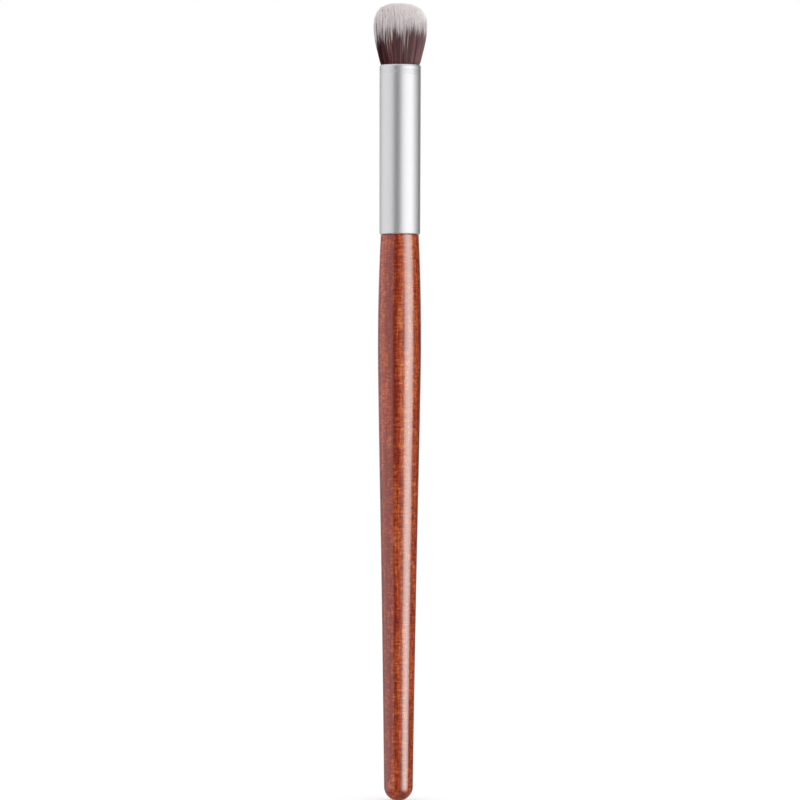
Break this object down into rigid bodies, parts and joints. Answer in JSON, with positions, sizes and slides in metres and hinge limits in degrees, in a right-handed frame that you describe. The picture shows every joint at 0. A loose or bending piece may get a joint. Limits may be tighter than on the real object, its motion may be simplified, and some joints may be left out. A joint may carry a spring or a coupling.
{
  "type": "concealer brush",
  "caption": "Slim cosmetic brush: tapering lacquered wooden handle, satin aluminium ferrule and a short, dense, domed tuft of brown bristles with pale tips.",
  "frame": {"origin": "centre of the small flat at the handle's butt end, on the brush's axis", "axes": "+Z along the brush from the butt up to the tuft; X and Y across it; the pictured side faces -Y"},
  "size_m": [0.0108, 0.0109, 0.165],
  "materials": {
    "lacquered_wood": "reddish brown, fine straight grain under clear gloss lacquer",
    "satin_aluminium": "satin anodised",
    "bristles": "soft synthetic fibre, dark brown with pale grey tips",
    "cast_resin": "cast amber resin, hidden in the ferrule",
    "clear_glue": "cured clear adhesive, hidden in the ferrule"
  },
  "bodies": {
    "root": {"handle": "lacquered_wood", "ferrule": "satin_aluminium", "bristle_tuft": "bristles", "resin_plug": "cast_resin", "tenon_glue": "clear_glue"}
  },
  "joints": []
}
